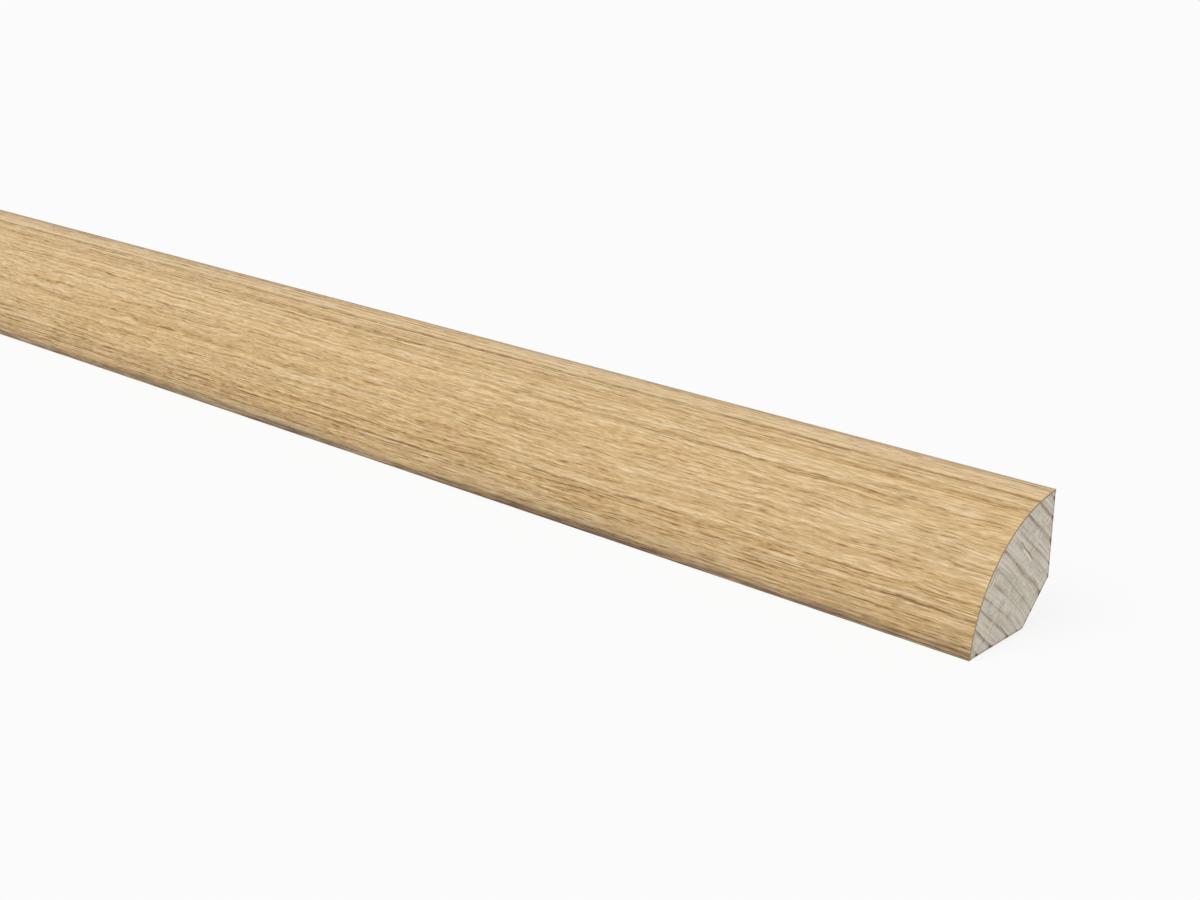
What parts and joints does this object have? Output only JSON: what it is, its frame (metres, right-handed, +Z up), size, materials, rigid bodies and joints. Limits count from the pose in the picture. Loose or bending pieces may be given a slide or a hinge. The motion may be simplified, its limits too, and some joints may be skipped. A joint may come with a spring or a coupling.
{
  "type": "quarter round moulding",
  "caption": "Quarter round moulding that covers the joint of floor and wall: a softwood bar with an oak veneered rounded face, relieved back and underside and a cut inner corner.",
  "frame": {"origin": "bottom centre of the bar's box: middle of its length, at floor level, midway between the toe and the wall plane", "axes": "+X along the bar, +Y towards the wall, +Z up from the floor"},
  "size_m": [2.4, 0.014, 0.014],
  "materials": {
    "softwood": "matte",
    "oak": "satin"
  },
  "bodies": {
    "root": {"softwood_core": "softwood", "oak_veneer": "oak"}
  },
  "joints": []
}
